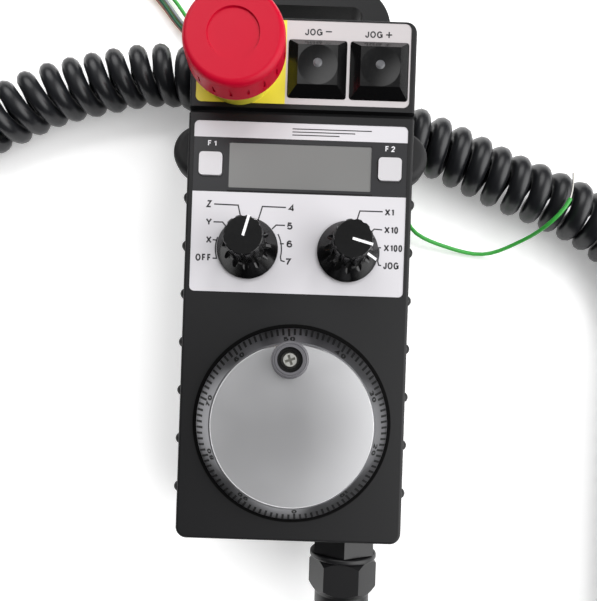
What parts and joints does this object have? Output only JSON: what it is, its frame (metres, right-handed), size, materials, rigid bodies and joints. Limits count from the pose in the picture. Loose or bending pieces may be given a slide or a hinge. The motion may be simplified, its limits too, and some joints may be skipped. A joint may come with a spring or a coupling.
{
  "type": "handheld pulse generator handwheel",
  "caption": "Hand-held jog pendant for a machine tool with a graduated handwheel, two selector knobs, display, jog keys, red stop button, side enable buttons, hanging loop and curly cord.",
  "frame": {"origin": "under the middle of the object without its cords, on the surface it lies on", "axes": "+Z out of the front face, +Y toward the stop button and hanging loop, +X to the right seen from the front"},
  "size_m": [0.388, 0.3932, 0.09],
  "materials": {
    "case": "fine spark texture",
    "plate": "satin, bare",
    "rubber": "matt",
    "dark_steel": "blackened",
    "nickel": "nickel plated",
    "steel": "ground",
    "board": "solder mask",
    "terminal": "moulded",
    "lcd_frame": "bright",
    "lcd_glass": "clear over grey",
    "foil": "printed polyester",
    "switch_black": "moulded",
    "key_white": "satin",
    "knob_gloss": "polished",
    "pointer_white": "satin",
    "bezel": "satin",
    "encoder_blue": "moulded",
    "code_glass": "clear",
    "dial": "satin",
    "disc": "satin",
    "handle_grey": "polished",
    "contact_white": "moulded",
    "stop_red": "satin",
    "lens": "milky",
    "gland": "nylon",
    "cable": "polyurethane jacket",
    "core_mixed": "PVC insulation",
    "core_green": "PVC insulation"
  },
  "bodies": {
    "housing": {"front_shell": "case", "back_shell": "case", "rating_plate": "plate", "hang_loop": "case", "shell_gasket": "rubber", "shell_screws": "dark_steel", "main_board": "board", "board_screws": "nickel", "terminal_block": "terminal", "display_board": "board", "lcd_module": "lcd_frame", "lcd_window": "lcd_glass", "lower_label": "foil", "upper_label": "foil", "fkey_switches": "switch_black", "axis_switch": "switch_black", "rate_switch": "switch_black", "switch_nuts": "nickel", "encoder_case": "bezel", "encoder_back": "encoder_blue", "encoder_screws": "dark_steel", "estop_barrel": "switch_black", "estop_nut": "switch_black", "estop_contacts": "contact_white", "jog_board": "board", "jog_switches": "switch_black", "enable_switches": "switch_black", "gland_body": "gland", "gland_seal": "rubber", "gland_nut": "gland", "gland_locknut": "nickel", "cable_stub": "cable", "cord_lead": "cable", "curly_cord": "cable", "cord_tail": "cable", "core_bundle": "core_mixed", "core_green": "core_green"},
    "wheel": {"graduated_dial": "dial", "wheel_disc": "disc", "encoder_shaft": "steel", "code_disc": "code_glass", "spinner_screw": "nickel"},
    "spinner": {"spinner_handle": "handle_grey"},
    "axis_selector": {"axis_shaft": "steel", "axis_knob": "knob_gloss", "axis_pointer": "pointer_white"},
    "rate_selector": {"rate_shaft": "steel", "rate_knob": "knob_gloss", "rate_pointer": "pointer_white"},
    "estop_plunger": {"estop_stem": "switch_black"},
    "estop_cap": {"estop_head": "stop_red"},
    "key_f1": {"f1_key": "key_white"},
    "key_f2": {"f2_key": "key_white"},
    "key_jog_minus": {"jog_minus_key": "knob_gloss", "jog_minus_lens": "lens"},
    "key_jog_plus": {"jog_plus_key": "knob_gloss", "jog_plus_lens": "lens"},
    "button_enable_left": {"enable_left": "rubber"},
    "button_enable_right": {"enable_right": "rubber"}
  },
  "joints": [
    {"name": "wheel_turn", "type": "hinge", "parent": "housing", "child": "wheel", "pos_m": [0, -0.0524, 0.06], "axis": [0, 0, 1], "continuous": true},
    {"name": "spinner_turn", "type": "hinge", "parent": "wheel", "child": "spinner", "pos_m": [-0.00149, -0.02805, 0.08], "axis": [0, 0, 1], "continuous": true},
    {"name": "axis_turn", "type": "hinge", "parent": "housing", "child": "axis_selector", "pos_m": [-0.0203, 0.0178, 0.065], "axis": [0, 0, 1], "range_deg": [-90, 120]},
    {"name": "rate_turn", "type": "hinge", "parent": "housing", "child": "rate_selector", "pos_m": [0.0203, 0.0178, 0.065], "axis": [0, 0, 1], "range_deg": [0, 90]},
    {"name": "estop_push", "type": "slide", "parent": "housing", "child": "estop_plunger", "axis": [0, 0, -1], "range_m": [0, 0.0055]},
    {"name": "estop_twist", "type": "hinge", "parent": "estop_plunger", "child": "estop_cap", "pos_m": [-0.0261, 0.0907, 0.07], "axis": [0, 0, 1], "range_deg": [-45, 0], "stiffness_Nm_per_rad": 0.05, "springref_deg": 5.73},
    {"name": "f1_press", "type": "slide", "parent": "housing", "child": "key_f1", "axis": [0, 0, -1], "range_m": [0, 0.0005], "stiffness_N_per_m": 300, "springref_m": -0.0005},
    {"name": "f2_press", "type": "slide", "parent": "housing", "child": "key_f2", "axis": [0, 0, -1], "range_m": [0, 0.0005], "stiffness_N_per_m": 300, "springref_m": -0.0005},
    {"name": "jog_minus_press", "type": "slide", "parent": "housing", "child": "key_jog_minus", "axis": [0, 0, -1], "range_m": [0, 0.0025], "stiffness_N_per_m": 300, "springref_m": -0.001},
    {"name": "jog_plus_press", "type": "slide", "parent": "housing", "child": "key_jog_plus", "axis": [0, 0, -1], "range_m": [0, 0.0025], "stiffness_N_per_m": 300, "springref_m": -0.001},
    {"name": "enable_left_press", "type": "slide", "parent": "housing", "child": "button_enable_left", "axis": [1, 0, 0], "range_m": [0, 0.0025], "stiffness_N_per_m": 400, "springref_m": -0.001},
    {"name": "enable_right_press", "type": "slide", "parent": "housing", "child": "button_enable_right", "axis": [-1, 0, 0], "range_m": [0, 0.0025], "stiffness_N_per_m": 400, "springref_m": -0.001}
  ]
}
